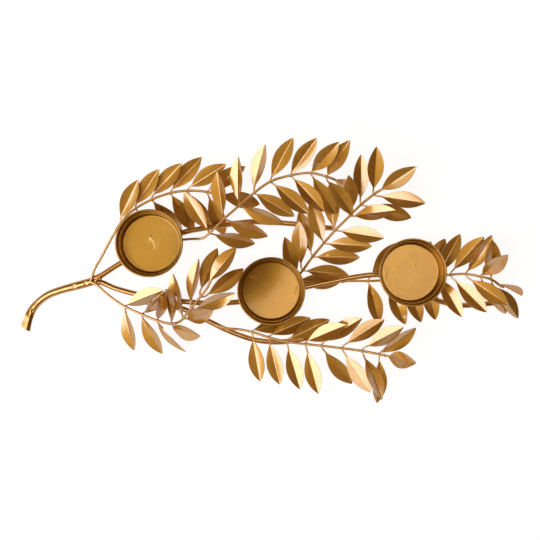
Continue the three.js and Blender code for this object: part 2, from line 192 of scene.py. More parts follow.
def weld_bead(middle, along, size, lump=0.25):
    """A lumpy bead of weld metal: its length lies along a direction, size holds length, width and height."""
    along = unit(np.asarray(along, float))
    side = unit(np.cross([0, 0, 1], along) + NUDGE)
    above = np.cross(along, side)
    corners = []
    for ring in range(1, BEAD_RINGS):
        polar = math.pi * ring / BEAD_RINGS
        for step in range(BEAD_SIDES):
            turn = 2 * math.pi * step / BEAD_SIDES
            girth = math.sin(polar)
            spot = np.array([math.cos(polar), girth * math.cos(turn), girth * math.sin(turn)])
            spot *= 1 + lump * noise.noise(Vector(spot * LUMPS_PER_BEAD + np.asarray(middle)))
            offset = spot * np.asarray(size) / 2
            corners.append(middle + along * offset[0] + side * offset[1] + above * offset[2])
    faces = ring_faces(BEAD_RINGS - 1, BEAD_SIDES)
    last = (BEAD_RINGS - 2) * BEAD_SIDES
    faces += [tuple(range(BEAD_SIDES))[::-1], tuple(range(last, last + BEAD_SIDES))]
    return np.array(corners), faces


print("a bead has", (BEAD_RINGS - 1) * BEAD_SIDES, "corners")

# %% [markdown]
# ## Gold paint
# The finish is sprayed metallic paint: fine flakes under a thin lacquer. An image texture would need evenly
# lit pictures of the metal, so noise textures make it instead. One node group holds what all three finishes
# share: a slow change of tone, the grain of the spray, patches of duller gloss, and the relief. The metal
# look itself stays in each material.

# %% Spray grain: sockets of the group
SPRAY_INPUTS = {
    "Deep Gold": ("NodeSocketColor", (0.5, 0.25, 0.05, 1)),
    "Light Gold": ("NodeSocketColor", (0.7, 0.4, 0.1, 1)),
    "Grain Scale": ("NodeSocketFloat", 1200.0),
    "Smoothest": ("NodeSocketFloat", 0.3),
    "Roughest": ("NodeSocketFloat", 0.4),
}
SPRAY_OUTPUTS = {"Color": "NodeSocketColor", "Roughness": "NodeSocketFloat", "Height": "NodeSocketFloat"}
SPRAY = bpy.data.node_groups.new("sprayed_gold", "ShaderNodeTree")
for name, (kind, value) in SPRAY_INPUTS.items():
    SPRAY.interface.new_socket(name=name, in_out="INPUT", socket_type=kind).default_value = value
for name, kind in SPRAY_OUTPUTS.items():
    SPRAY.interface.new_socket(name=name, in_out="OUTPUT", socket_type=kind)
print(SPRAY.name, "has", len(SPRAY_INPUTS), "inputs and", len(SPRAY_OUTPUTS), "outputs")

# %% Spray grain: nodes of the group
CLOUD, PATCH = {"Scale": 45, "Detail": 4}, {"Scale": 220, "Detail": 3}
GRAIN = {"Detail": 2, "Roughness": 0.7}
GRAIN_SHARE, CLOUD_SHARE = 0.75, 0.25
TONE_RANGE, GLOSS_RANGE = (0.3, 0.7), (0.35, 0.65)


def set_inputs(node, values):
    for name, value in values.items():
        node.inputs[name].default_value = value


def fill_spray_group(nodes, link):
    """Cloud and grain mix the two golds, patches change the gloss, and the grain is the relief too."""
    given, made = nodes.new("NodeGroupInput").outputs, nodes.new("NodeGroupOutput").inputs
    place = nodes.new("ShaderNodeTexCoord").outputs["Object"]
    cloud, patch, grain = (nodes.new("ShaderNodeTexNoise") for _ in range(3))
    for texture, settings in ((cloud, CLOUD), (patch, PATCH), (grain, GRAIN)):
        set_inputs(texture, settings)
        link(place, texture.inputs["Vector"])
    link(given["Grain Scale"], grain.inputs["Scale"])
    cloud_part, tone = nodes.new("ShaderNodeMath"), nodes.new("ShaderNodeMath")
    cloud_part.operation, tone.operation = "MULTIPLY", "MULTIPLY_ADD"
    cloud_part.inputs[1].default_value, tone.inputs[1].default_value = CLOUD_SHARE, GRAIN_SHARE
    link(cloud.outputs["Fac"], cloud_part.inputs[0])
    link(grain.outputs["Fac"], tone.inputs[0])
    link(cloud_part.outputs[0], tone.inputs[2])
    spread, gloss = nodes.new("ShaderNodeMapRange"), nodes.new("ShaderNodeMapRange")
    set_inputs(spread, {"From Min": TONE_RANGE[0], "From Max": TONE_RANGE[1]})
    set_inputs(gloss, {"From Min": GLOSS_RANGE[0], "From Max": GLOSS_RANGE[1]})
    link(tone.outputs[0], spread.inputs["Value"])
    link(patch.outputs["Fac"], gloss.inputs["Value"])
    link(given["Smoothest"], gloss.inputs["To Min"])
    link(given["Roughest"], gloss.inputs["To Max"])
    tint = nodes.new("ShaderNodeMix")
    tint.data_type = "RGBA"
    link(spread.outputs["Result"], tint.inputs["Factor"])
    link(given["Deep Gold"], tint.inputs["A"])
    link(given["Light Gold"], tint.inputs["B"])
    link(tint.outputs["Result"], made["Color"])
    link(gloss.outputs["Result"], made["Roughness"])
    link(grain.outputs["Fac"], made["Height"])


fill_spray_group(SPRAY.nodes, SPRAY.links.new)
print(SPRAY.name, "is made of", len(SPRAY.nodes), "nodes")

# %% [markdown]
# Leaves, rods and cups took the paint differently: leaves are the dullest, rods the most polished, and cups
# have the finest grain and the least lacquer. A glossy shader mixed over the metal could be the lacquer, but
# the coat of the Principled shader also takes its light from the metal below. The index of the coat is high,
# which turns highlights pale, as bright flakes just under the surface do.

# %% Three gold paints
LACQUER_ROUGHNESS, LACQUER_IOR, GRAIN_STRENGTH = 0.13, 4.0, 0.5
# Leaves and rods get a dark edge tint, which is painted shade: seen at a low angle, their metal turns dark
# brown, as if it mirrored the shaded table under the branch.
PAINTED_SHADE_EDGE, GOLD_EDGE = (0.35, 0.18, 0.05), (1.0, 1.0, 0.8)
PAINTS = {
    "leaf_paint": {
        "name": "leaf_gold", "deep": (0.56, 0.275, 0.033), "light": (0.7, 0.365, 0.056), "grain": 900,
        "gloss": (0.41, 0.49), "relief": 0.000003, "lacquer": 0.38, "edge": PAINTED_SHADE_EDGE,
    },
    "rod_paint": {
        "name": "rod_gold", "deep": (0.46, 0.212, 0.024), "light": (0.57, 0.277, 0.04), "grain": 700,
        "gloss": (0.28, 0.35), "relief": 0.000003, "lacquer": 0.26, "edge": PAINTED_SHADE_EDGE,
    },
    "cup_paint": {
        "name": "cup_gold", "deep": (0.33, 0.169, 0.025), "light": (0.475, 0.249, 0.039), "grain": 1100,
        "gloss": (0.33, 0.36), "relief": 0.000002, "lacquer": 0.08, "edge": GOLD_EDGE,
    },
}


def new_material(name):
    material = bpy.data.materials.new(name)
    material.use_nodes = True
    return material, material.node_tree.nodes, material.node_tree.links.new


def gold_paint(name, deep, light, grain, gloss, relief, lacquer, edge):
    """Gloss holds the lowest and highest roughness, relief is in metres, and edge tints the metal where it
    is seen at a low angle; a dark edge tint is painted shade."""
    material, nodes, link = new_material(name)
    shader = nodes["Principled BSDF"]
    set_inputs(shader, {
        "Metallic": 1.0, "Specular Tint": (*edge, 1), "Coat Weight": lacquer,
        "Coat Roughness": LACQUER_ROUGHNESS, "Coat IOR": LACQUER_IOR,
    })
    spray, bump = nodes.new("ShaderNodeGroup"), nodes.new("ShaderNodeBump")
    spray.node_tree = SPRAY
    set_inputs(spray, {
        "Deep Gold": (*deep, 1), "Light Gold": (*light, 1), "Grain Scale": grain,
        "Smoothest": gloss[0], "Roughest": gloss[1],
    })
    set_inputs(bump, {"Strength": GRAIN_STRENGTH, "Distance": relief})
    link(spray.outputs["Color"], shader.inputs["Base Color"])
    link(spray.outputs["Roughness"], shader.inputs["Roughness"])
    link(spray.outputs["Height"], bump.inputs["Height"])
    link(bump.outputs["Normal"], shader.inputs["Normal"])
    return material


FINISHES = {slot: gold_paint(**paint) for slot, paint in PAINTS.items()}
for slot, material in FINISHES.items():
    print(slot, "is", material.name)

# %% [markdown]
# ## Finished pieces
# A finished piece stands for one CAD node. It may be made of several shapes that were welded together. They
# could be separate objects, but one mesh keeps a piece and its welds together, so the shapes are joined.
# Edges sharper than the given angle stay crisp, and nothing reaches below the table.

# %% One mesh for each CAD node
def put_in_scene(name, data):
    item = bpy.data.objects.new(name, data)
    bpy.context.scene.collection.objects.link(item)
    return item


def add_piece(node, shapes, finish, crisp=35):
    corners, faces, offset = [], [], 0
    for points, rows in shapes:
        corners.append(points)
        faces += [tuple(index + offset for index in row) for row in rows]
        offset += len(points)
    mesh = bpy.data.meshes.new(node)
    points = np.vstack(corners) + BENCH_SHIFT
    points[:, 2] = points[:, 2].clip(0)
    mesh.from_pydata((points * MM).tolist(), [], faces)
    mesh.shade_smooth()
    mesh.set_sharp_from_angle(angle=math.radians(crisp))
    mesh.materials.append(FINISHES[finish])
    piece = put_in_scene(f"{node}_gold", mesh)
    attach(piece, "root")
    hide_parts(node)


print("a piece takes one of", ", ".join(FINISHES))

# %% [markdown]
# ## Hammered stem
# The stem is a thick bar, drawn down in the middle and beaten flat at its free end. Its section is an oval
# that changes along the bar. A bevelled curve keeps the shape of its section, so here each ring of corners
# is set out from the width and height at that place. Two hammer pits near the fork and a pinch before the
# flat end catch the light. They could be sculpted, but as numbers they can be moved again.

# %% Stem: stations, pits and beaten end
# Place on the bench, width and height of the bar.
STEM_STATIONS = [
    ((-315, -76, 2.13), 13, 4.4), ((-311, -62, 2.13), 11, 4.4), ((-306, -52, 4.6), 10.4, 6.4),
    ((-297, -42, 8.5), 9.2, 9.2), ((-283, -32, 12.5), 9.2, 9.2), ((-264, -25, 16), 9.2, 9.2),
    ((-241, -19, 18.8), 10.4, 10.4), ((-223, -14, 20), 10.4, 10.4),
]
# Place on the bench, half width and depth of each hammer pit. The last one is the notch of the pinch.
HAMMER_PITS = [((-247, -20.6), 2.3, 0.9), ((-232, -17.4), 2.0, 0.8), ((-303.0, -53), 2.4, 1.6)]
# Height of the metal thrown up around a pit, its distance from the middle and its half width, as shares.
PIT_RIM, PIT_RIM_REACH, PIT_RIM_WIDTH = 0.2, 1.5, 0.5
# The free end is beaten to a wedge: a ridge right of the middle, a long left flank and a steep right one.
FLAT_LENGTH, FLAT_BLEND, RIDGE_PLACE, WEDGE_HEIGHTS = 25, 6, -0.25, (0.1, 1.3, 0.3)
stem_route = Route([place for place, _, _ in STEM_STATIONS])
print("stem", round(stem_route.length), "mm long")


def wedge_height(across):
    """Height of the beaten end, as a share of half its thickness. Across runs from -1 right to 1 left."""
    return float(np.interp(across, (-1, RIDGE_PLACE, 1), WEDGE_HEIGHTS))


def pit_depth(x, y):
    depth = 0.0
    for (pit_x, pit_y), size, deep in HAMMER_PITS:
        reach = math.hypot(x - pit_x, y - pit_y) / size
        rim = PIT_RIM * math.exp(-((reach - PIT_RIM_REACH) / PIT_RIM_WIDTH) ** 2)
        depth += deep * (math.exp(-reach * reach) - rim)
    return depth


# %% Stem mesh, with the lumps of weld in its fork
STEM_SIDES, STEM_STEP = 40, 0.9
STEM_DENT, STEM_DENT_SIZE = 0.16, 11.0
END_SLANT, SLANT_RUN = 1.6, 8
# Offset from the end of the stem and size of each lump.
FORK_LUMPS = [((4, 1, 2.6), (8, 7, 4)), ((8.5, 3.5, 2.2), (6, 5, 4)), ((9, -0.5, 2.0), (6, 5, 4))]
FORK_ALONG, FORK_ROUGHNESS = (1, 0.3, 0), 0.6


def stem_shape():
    marks = [stem_route.reach[i * SPLINE_STEPS] for i in range(len(STEM_STATIONS))]
    lengths = np.linspace(0, stem_route.length, round(stem_route.length / STEM_STEP))
    corners = []
    for length in lengths:
        point, ahead, left, _ = stem_route.frame(length)
        wide = np.interp(length, marks, [width for _, width, _ in STEM_STATIONS])
        high = np.interp(length, marks, [height for _, _, height in STEM_STATIONS])
        flat = min(max((FLAT_LENGTH - length) / FLAT_BLEND, 0), 1)
        for side in range(STEM_SIDES):
            angle = 2 * math.pi * side / STEM_SIDES
            across, up = math.sin(angle), math.cos(angle)
            if up > 0:
                up = up * (1 - flat) + flat * wedge_height(across)
            corner = point + left * (across * wide / 2) + np.array([0, 0, up * high / 2])
            inward = unit(point - corner)
            depth = STEM_DENT * noise.noise(Vector(corner / STEM_DENT_SIZE))
            corner = corner + inward * (depth + pit_depth(*corner[:2]) * max(up, 0))
            corners.append(corner + ahead * (END_SLANT * across * max(1 - length / SLANT_RUN, 0)))
    faces = [face[::-1] for face in ring_faces(len(lengths), STEM_SIDES)]
    last = (len(lengths) - 1) * STEM_SIDES
    faces += [tuple(range(STEM_SIDES)), tuple(range(last, last + STEM_SIDES))[::-1]]
    return np.array(corners), faces


fork = stem_route.at(stem_route.length)
fork_lumps = [
    weld_bead(fork + np.array(offset), FORK_ALONG, size, FORK_ROUGHNESS) for offset, size in FORK_LUMPS
]
add_piece("main_stem", [stem_shape(), *fork_lumps], "rod_paint")
print("main_stem has", len(HAMMER_PITS), "pits and", len(fork_lumps), "lumps of weld")

# %% [markdown]
# ## Branch rods
# Two rods are butted against the end of the stem, and the third is welded to the middle rod. The upper rod
# carries one cup and the middle rod two. Each rod ends with a short bend down to the table, so the whole
# branch stands on its rod ends. The routes could be drawn as curve objects, but the wires are welded at
# measured lengths along the rods, so the same measured routes are used for both.

# %% Rod routes
UPPER_BRANCH_ROUTE = [
    (-190, 8, 20), (-154, 27, 20), (-111, 47, 20), (-82, 53, 20), (-51, 58, 19), (-25, 61, 17),
    (13, 60, 13.5), (38, 58, 10.5), (61, 55, 8), (75, 54, 6), (79, 54, 3), (79, 54, 0),
]
MIDDLE_BRANCH_ROUTE = [
    (-196, -23, 20), (-171, -30, 20), (-142, -36, 20), (-107, -40, 20), (-73, -42, 20), (-38, -40, 20),
    (1, -32, 20), (43, -22, 20), (82, -14, 20), (101, -10, 20), (137, -6, 20), (171, -12, 20),
    (212, -38, 15), (243, -45, 10), (269, -44, 7.5), (290, -42, 6), (295, -42, 3), (295, -42, 0),
]
LOWER_BRANCH_ROUTE = [
    (-111, -49, 20), (-77, -65, 19), (-57, -75, 18), (-38, -83, 16), (-23, -88, 14), (-6, -91, 12),
    (13, -92, 9.5), (32, -90, 7.5), (45, -88, 6), (49, -88, 3), (49, -88, 0),
]
# Carrier, length along it, and side in degrees: 0 is left of the carrier, 90 on top and 180 right of it.
LOWER_BRANCH_ROOT = ("middle_branch", 68, 180)
ROD_DIAMETER, ROD_HEIGHT = 6.8, 20
CLEARANCE, WELD_RUN, FORK_STRAIGHT = 0.3, 7, 7


def fork_route(side, route):
    """A rod that butts against the end of the stem, to one side of its centre line."""
    point, ahead, left, _ = stem_route.frame(stem_route.length)
    level = unit(ahead * [1, 1, 0])
    start = point + left * side * (ROD_DIAMETER + CLEARANCE) / 2 + level * CLEARANCE
    start[2] = ROD_HEIGHT
    return Route([start, start + level * FORK_STRAIGHT, *route])


def welded_root(carrier, root, distance):
    """Points that lay the root of a rod or wire against its carrier: two along a rod, one on the stem."""
    _, at, side = root
    lean = math.radians(side)
    runs = [at] if carrier is stem_route else [at, at + WELD_RUN]
    points = []
    for length in runs:
        point, _, left, above = carrier.frame(length)
        points.append(point + left * distance * math.cos(lean) + above * distance * math.sin(lean))
    return points


rod_routes = {
    "main_stem": stem_route,
    "upper_branch": fork_route(1, UPPER_BRANCH_ROUTE),
    "middle_branch": fork_route(-1, MIDDLE_BRANCH_ROUTE),
}
lower_root = welded_root(rod_routes["middle_branch"], LOWER_BRANCH_ROOT, ROD_DIAMETER + CLEARANCE)
rod_routes["lower_branch"] = Route([*lower_root, *LOWER_BRANCH_ROUTE])
print({name: round(route.length) for name, route in rod_routes.items()}, "mm long")

# %% Rod pieces
ROD_SIDES, ROD_STEP, ROD_DENT = 24, 2.0, 0.12
SEAM_BEAD = (11, 4, 6)
seam = (np.array(lower_root[0]) + rod_routes["middle_branch"].at(LOWER_BRANCH_ROOT[1])) / 2
seam_beads = {"lower_branch": [weld_bead(seam, np.subtract(*lower_root[::-1]), SEAM_BEAD)]}
for name in ("upper_branch", "middle_branch", "lower_branch"):
    rod = swept(rod_routes[name].spaced(ROD_STEP), ROD_DIAMETER / 2, ROD_SIDES, ROD_DENT)
    add_piece(name, [rod, *seam_beads.get(name, [])], "rod_paint")
    print(name, "has", len(rod[0]), "corners")

# %% [markdown]
# ## Cups
# Each cup is pressed from sheet: a flat floor, a flared wall with a small step half way up, and a thin
# rolled rim. A screw modifier could turn such a profile, but the floor needs fine rings of its own, so that
# the weld marks on it can be real bumps. So the profile is turned here, corner by corner.

# %% Cup profile
CUP_DIAMETER, CUP_FLOOR_DIAMETER, CUP_HEIGHT, CUP_SHEET = 84, 73, 24, 1.4
CUP_RIM_BEAD, CUP_CORNER_RADIUS, CUP_INNER_RADIUS = 2.4, 3, 2
STEP_HEIGHT, STEP_OUT, STEP_EDGE, STEP_ARC = 14, 1.0, 0.7, (176, 70)
RIM_ARC, RIM_FOOT = (165, -80), 0.3
CORNER_STEPS, STEP_STEPS, RIM_STEPS = 8, 10, 22
FLOOR_RINGS, FLOOR_MIDDLE, UNDERSIDE_RINGS = 52, 2.5, (0.75, 0.5, 0.25)


def arc(x, z, radius, start, stop, steps):
    angles = np.radians(np.linspace(start, stop, steps + 1))
    return [(x + radius * math.cos(angle), z + radius * math.sin(angle)) for angle in angles]


def make_cup_profile():
    """Radius and height of the sheet, from the middle of the floor over the rim to the middle below."""
    rim, floor, bead = CUP_DIAMETER / 2, CUP_FLOOR_DIAMETER / 2, CUP_RIM_BEAD / 2
    level, outer_radius = floor - CUP_INNER_RADIUS, CUP_CORNER_RADIUS + CUP_SHEET
    below = floor - CUP_CORNER_RADIUS
    flare = math.degrees(math.atan2(rim - CUP_RIM_BEAD - floor, CUP_HEIGHT - bead - CUP_SHEET))
    floor_rings = [(radius, CUP_SHEET) for radius in np.linspace(FLOOR_MIDDLE, level, FLOOR_RINGS)[:-1]]
    return [
        *floor_rings,
        *arc(level, CUP_SHEET + CUP_INNER_RADIUS, CUP_INNER_RADIUS, -90, -flare, CORNER_STEPS),
        *arc(floor + STEP_OUT + STEP_EDGE, STEP_HEIGHT, STEP_EDGE, *STEP_ARC, STEP_STEPS),
        *arc(rim - bead, CUP_HEIGHT - bead, bead, *RIM_ARC, RIM_STEPS),
        (rim - CUP_RIM_BEAD + CUP_SHEET, CUP_HEIGHT - CUP_RIM_BEAD - RIM_FOOT),
        *arc(below, outer_radius, outer_radius, -flare, -90, CORNER_STEPS),
        *[(below * share, 0.0) for share in UNDERSIDE_RINGS],
    ]


cup_profile = make_cup_profile()
print("cup profile of", len(cup_profile), "points")

# %% [markdown]
# Welding from below has left marks on the cup floors: a bump with a tail in the left cup, short ridges near
# the edges of the others. A bump map would show them from above, but not against the light, so they raise
# the floor itself. The marks differ from cup to cup.

# %% Weld marks on the floors
FLOOR_WAVE, FLOOR_WAVE_SIZE = 0.03, 14
# Line on the bench, half width and height of each mark on a floor. A negative height is a dimple or groove.
FLOOR_MARKS = {
    "cup_left": [
        ([(-148.9, 40.4)], 1.9, 0.45), ([(-146.9, 41.3)], 0.9, -0.15),
        ([(-147.0, 37.6), (-145.4, 34.4), (-144.4, 31.0), (-144.9, 27.6)], 1.2, 0.22),
        ([(-142.2, 35.8), (-141.4, 32.6), (-142.4, 29.2)], 1.1, 0.15),
        ([(-152.4, 37.6), (-151.4, 34.4)], 1.4, -0.12),
    ],
    "cup_center": [([(33.4, -20.5), (33.9, -24.0)], 0.8, 0.26), ([(32.6, -26.5), (32.2, -30.5)], 0.7, 0.2)],
    "cup_right": [
        ([(144.2, 6.0), (145.6, 2.0), (144.8, -2.0), (146.2, -6.0), (145.4, -11.0)], 0.9, 0.2),
        ([(147.4, 3.0), (148.0, -3.0)], 0.8, 0.13), ([(184.3, 6.9)], 2.8, 0.15),
        ([(184.3, 6.9)], 1.3, -0.28), ([(192.0, 11.0)], 1.2, 0.13), ([(189.5, -2.5)], 1.0, 0.15),
    ],
}


def gap_to_line(x, y, line):
    """Distance in plan from a spot to a line of points."""
    gaps = [math.hypot(x - px, y - py) for px, py in line]
    for (ax, ay), (bx, by) in zip(line, line[1:]):
        run = (bx - ax) ** 2 + (by - ay) ** 2
        share = min(max(((x - ax) * (bx - ax) + (y - ay) * (by - ay)) / run, 0), 1)
        gaps.append(math.hypot(x - ax - share * (bx - ax), y - ay - share * (by - ay)))
    return min(gaps)


def floor_relief(name, spot):
    height = FLOOR_WAVE * noise.noise(Vector(spot / FLOOR_WAVE_SIZE))
    for line, size, rise in FLOOR_MARKS[name]:
        reach = gap_to_line(spot[0], spot[1], line) / size
        height += rise * math.exp(-reach * reach)
    return height


print({name: len(marks) for name, marks in FLOOR_MARKS.items()}, "marks")

# %% Cup pieces, with the beads that hold them to their rods
CUP_SIDES, CUP_BOTTOM = 180, ROD_HEIGHT + ROD_DIAMETER / 2 + CLEARANCE
SEATS = {"cup_left": "upper_branch", "cup_center": "middle_branch", "cup_right": "middle_branch"}
SEAT_BEAD, SEAT_BEAD_ASIDE, SEAT_BEAD_DROP = (13, 4.5, 3), (-2.6, 2.6), 0.9
CUP_CRISP = 50


def cup_shape(name):
    x, y = CUP_PLACES[name]
    corners = []
    for radius, height in cup_profile:
        for side in range(CUP_SIDES):
            angle = 2 * math.pi * side / CUP_SIDES
            along, across = radius * math.cos(angle), radius * math.sin(angle)
            spot = np.array([x + along, y + across, CUP_BOTTOM + height])
            if height == CUP_SHEET:
                spot[2] += floor_relief(name, spot)
            corners.append(spot)
    top, last = len(corners), (len(cup_profile) - 1) * CUP_SIDES
    corners += [np.array([x, y, CUP_BOTTOM + CUP_SHEET]), np.array([x, y, CUP_BOTTOM])]
    corners[top][2] += floor_relief(name, corners[top])
    faces = [face[::-1] for face in ring_faces(len(cup_profile), CUP_SIDES)]
    faces += [(side, (side + 1) % CUP_SIDES, top) for side in range(CUP_SIDES)]
    faces += [(last + (side + 1) % CUP_SIDES, last + side, top + 1) for side in range(CUP_SIDES)]
    return np.array(corners), faces


for name, (x, y) in CUP_PLACES.items():
    line = rod_routes[SEATS[name]].line
    nearest = np.hypot(line[:, 0] - x, line[:, 1] - y).argmin()
    spot = line[nearest] + np.array([0, 0, ROD_DIAMETER / 2 - SEAT_BEAD_DROP])
    along = line[nearest + 1] - line[nearest]
    side = unit(np.cross([0, 0, 1], along))
    beads = [weld_bead(spot + side * aside, along, SEAT_BEAD) for aside in SEAT_BEAD_ASIDE]
    add_piece(name, [cup_shape(name), *beads], "cup_paint", CUP_CRISP)
    print(name, "floor at", round(CUP_BOTTOM + CUP_SHEET, 1), "mm")

# %% [markdown]
# ## Leaves
# A leaf is stamped from thin sheet and folded up along its midrib. A plane with a bend modifier could do it,
# but the fold, the bow and the thin rounded edge are easier to hold in one grid of points: rows along the
# midrib, columns across it. The columns lie close together at the fold, which gives the crease its small
# radius. Some leaves have a small nub of weld beside the midrib.

# %% One folded leaf
LEAF_LENGTH, LEAF_WIDTH, LEAF_THICKNESS, LEAF_FOLD = 52, 21, 0.9, 20
LEAF_BASE_WIDTH, LEAF_TIP_WIDTH, LEAF_SKEW, LEAF_SLIMNESS = 2.6, 1.4, 1.05, 0.78
CREASE_RADIUS = 0.35
LEAF_ROWS = 34
HALF_COLUMNS = (0.03, 0.07, 0.14, 0.28, 0.44, 0.6, 0.76, 0.9, 1.0)
COLUMNS = np.array([-share for share in HALF_COLUMNS[::-1]] + [0.0] + list(HALF_COLUMNS))
NUB_PLACE, NUB_ASIDE, NUB_SIZE = 0.27, 1.2, 1.5
print("leaf grid of", LEAF_ROWS, "rows and", len(COLUMNS), "columns")


def leaf_shape(bow, camber, nub):
    """A closed sheet from its base along +X, folded up about +X. Camber curves the halves, nub is in mm."""
    share = (1 - np.cos(np.linspace(0, math.pi, LEAF_ROWS))) / 2
    swell = np.sin(math.pi * share ** LEAF_SKEW).clip(0) ** LEAF_SLIMNESS
    ends = LEAF_BASE_WIDTH + (LEAF_TIP_WIDTH - LEAF_BASE_WIDTH) * share
    half = np.hypot(LEAF_WIDTH * swell, ends)[:, None] / 2
    fold = math.radians(LEAF_FOLD)
    reach = half * COLUMNS * math.cos(fold)
    slope = math.tan(fold)
    lift = slope * (np.sqrt(reach ** 2 + CREASE_RADIUS ** 2) - CREASE_RADIUS)
    lift = lift + camber * np.abs(COLUMNS) * (1 - np.abs(COLUMNS)) * swell[:, None]
    along = np.broadcast_to((LEAF_LENGTH * share)[:, None], reach.shape)
    gap = np.hypot(along - NUB_PLACE * LEAF_LENGTH, reach - NUB_ASIDE)
    lift = lift - bow * share[:, None] ** 2 + nub * np.exp(-(gap / NUB_SIZE) ** 2)
    top = np.stack([along, reach, lift], axis=-1)
    below = top - np.array([0, 0, LEAF_THICKNESS / math.cos(fold)])
    return closed_sheet(top, below)


# %% Sheet edge, and laying a leaf on its stalk
EDGE_ROUND = 0.35


def closed_sheet(top, below):
    """Joins two grids of points with a rounded rim."""
    rows, columns = top.shape[:2]
    index = np.arange(rows * columns).reshape(rows, columns)
    rim = [*index[0, :-1], *index[:-1, -1], *index[-1, :0:-1], *index[:0:-1, 0]]
    flat = top.reshape(-1, 3)
    inner = [
        index[min(max(i // columns, 1), rows - 2), min(max(i % columns, 1), columns - 2)] for i in rim
    ]
    outward = flat[rim] - flat[inner]
    outward /= np.linalg.norm(outward, axis=1)[:, None]
    edge = (flat[rim] + below.reshape(-1, 3)[rim]) / 2 + outward * LEAF_THICKNESS * EDGE_ROUND
    corners = np.vstack([flat, below.reshape(-1, 3), edge])
    count = rows * columns
    faces = []
    for row in range(rows - 1):
        for column in range(columns - 1):
            a, b = index[row, column], index[row, column + 1]
            c, d = index[row + 1, column + 1], index[row + 1, column]
            faces.append((a, d, c, b))
            faces.append((a + count, b + count, c + count, d + count))
    for step, here in enumerate(rim):
        there, following = rim[(step + 1) % len(rim)], (step + 1) % len(rim)
        faces.append((here, there, 2 * count + following, 2 * count + step))
        faces.append((2 * count + step, 2 * count + following, there + count, here + count))
    return corners, [tuple(int(i) for i in face) for face in faces]


def laid_on(shape, base, bearing, rise, roll, carrier):
    """Turns a leaf about its own midrib, tips it up, points it along a bearing and lays it on a carrier of
    the given diameter."""
    points, faces = shape
    lift = carrier / 2 + LEAF_THICKNESS - CLEARANCE
    x, y, z = (points + np.array([0, 0, lift])).T
    turn, tip, way = (math.radians(angle) for angle in (roll, rise, bearing))
    y, z = y * math.cos(turn) - z * math.sin(turn), y * math.sin(turn) + z * math.cos(turn)
    x, z = x * math.cos(tip) - z * math.sin(tip), x * math.sin(tip) + z * math.cos(tip)
    x, y = x * math.cos(way) - y * math.sin(way), x * math.sin(way) + y * math.cos(way)
    return np.stack([x, y, z], axis=1) + base, faces


flat_leaf = leaf_shape(bow=0, camber=0, nub=0)
print("a leaf has", len(flat_leaf[0]), "corners and", len(flat_leaf[1]), "faces")

# %% [markdown]
# ## Sprigs
# A sprig is one wire with pairs of leaves. Two leaves share one bent stalk that is laid under the wire and
# welded there. Copies scattered along a curve would be quicker, but no two leaves stand alike, so each has
# its own numbers. Each row holds the place along the wire, then the left and the right leaf: splay from the
# wire, rise and roll in degrees, and the length of the stalk in millimetres.

# %% Sprigs of the stem and the upper rod
# Each root holds the carrier, the length along it and the side in degrees, as for the lower rod.
SPRIGS = {
    "left_upper_sprig": {
        "root": ("main_stem", 113, 70),
        "route": [
            (-220, 1, 27.5), (-212, 15, 28), (-197, 42, 30), (-186, 60, 31), (-179, 68, 32), (-169, 76, 32),
            (-150, 87, 32), (-125, 96, 32), (-104, 99, 31.5), (-81, 98, 31), (-60, 93, 30),
        ],
        "pairs": [
            (87, (7, 21, -2, 9), None),
            (112, (19, 21, -2, 9), None),
            (135, (21, 20, -1, 10), (71, -27, 14, 5)),
            (160, (32, 12, 3, 8), (73, -24, -2, 5)),
            (181, (27, 21, 2, 10), (62, -25, 10, 5)),
            (206, (41, 15, 0, 6), (59, -23, 0, 9)),
        ],
        "tip": (3, -24, 2),
    },
    "left_lower_sprig": {
        "root": ("main_stem", 113, 110),
        "route": [
            (-217, -19, 27.5), (-208, -27, 28), (-198, -35, 28.5), (-183, -45, 30), (-161, -55, 32),
            (-141, -63, 33), (-123, -67, 33.5), (-112, -64, 33.5), (-104, -55, 33.5), (-88, -35, 34.5),
            (-78, -22, 36), (-73, -12, 37),
        ],
        "pairs": [
            (58, (50, 20, -20, 5), (54, -14, 27, 7)),
            (82, (64, 35, 50, 6), (41, -12, 24, 5)),
            (103, (90, 57, 62, 5), (33, -24, 62, 6)),
            (121, (91, 42, 66, 5), (16, 46, 32, 5)),
            (138, (50, 18, -37, 7), (33, 49, 15, 8)),
            (154, (28, 8, -38, 11), (30, 18, 26, 9)),
            (173, (18, 0, -16, 12), (16, 0, 19, 12)),
        ],
        "tip": (-12, 15, -17),
    },
    "upper_sprig": {
        "root": ("upper_branch", 104, 180),
        "route": [
            (-101, 39, 21.5), (-84, 40, 27), (-76, 46, 30), (-57, 64, 35), (-38, 80, 39), (-20, 95, 43),
            (1, 109, 46.5), (25, 116, 49), (50, 119, 50), (71, 114, 49.5), (80, 111, 47),
        ],
        "pairs": [
            (58, (81, 13, -10, 8), (53, -16, 24, 8)),
            (84, (55, 19, -27, 8), (64, -9, 28, 7)),
            (110, (51, 17, -41, 8), (63, 7, 37, 6)),
            (134, (39, 14, -30, 9), (67, 3, 3, 5)),
            (159, (35, 16, -6, 8), (66, 3, -2, 9)),
            (185, (41, 26, -2, 5), (58, -4, -9, 8)),
            (210, (49, 39, 8, 5), (53, -15, 6, 8)),
            (230, (74, 37, -10, 5), (40, 21, -11, 9)),
        ],
        "tip": (-8, -52, 0),
    },
}
print(len(SPRIGS), "sprigs with", sum(len(sprig["pairs"]) for sprig in SPRIGS.values()), "pairs")

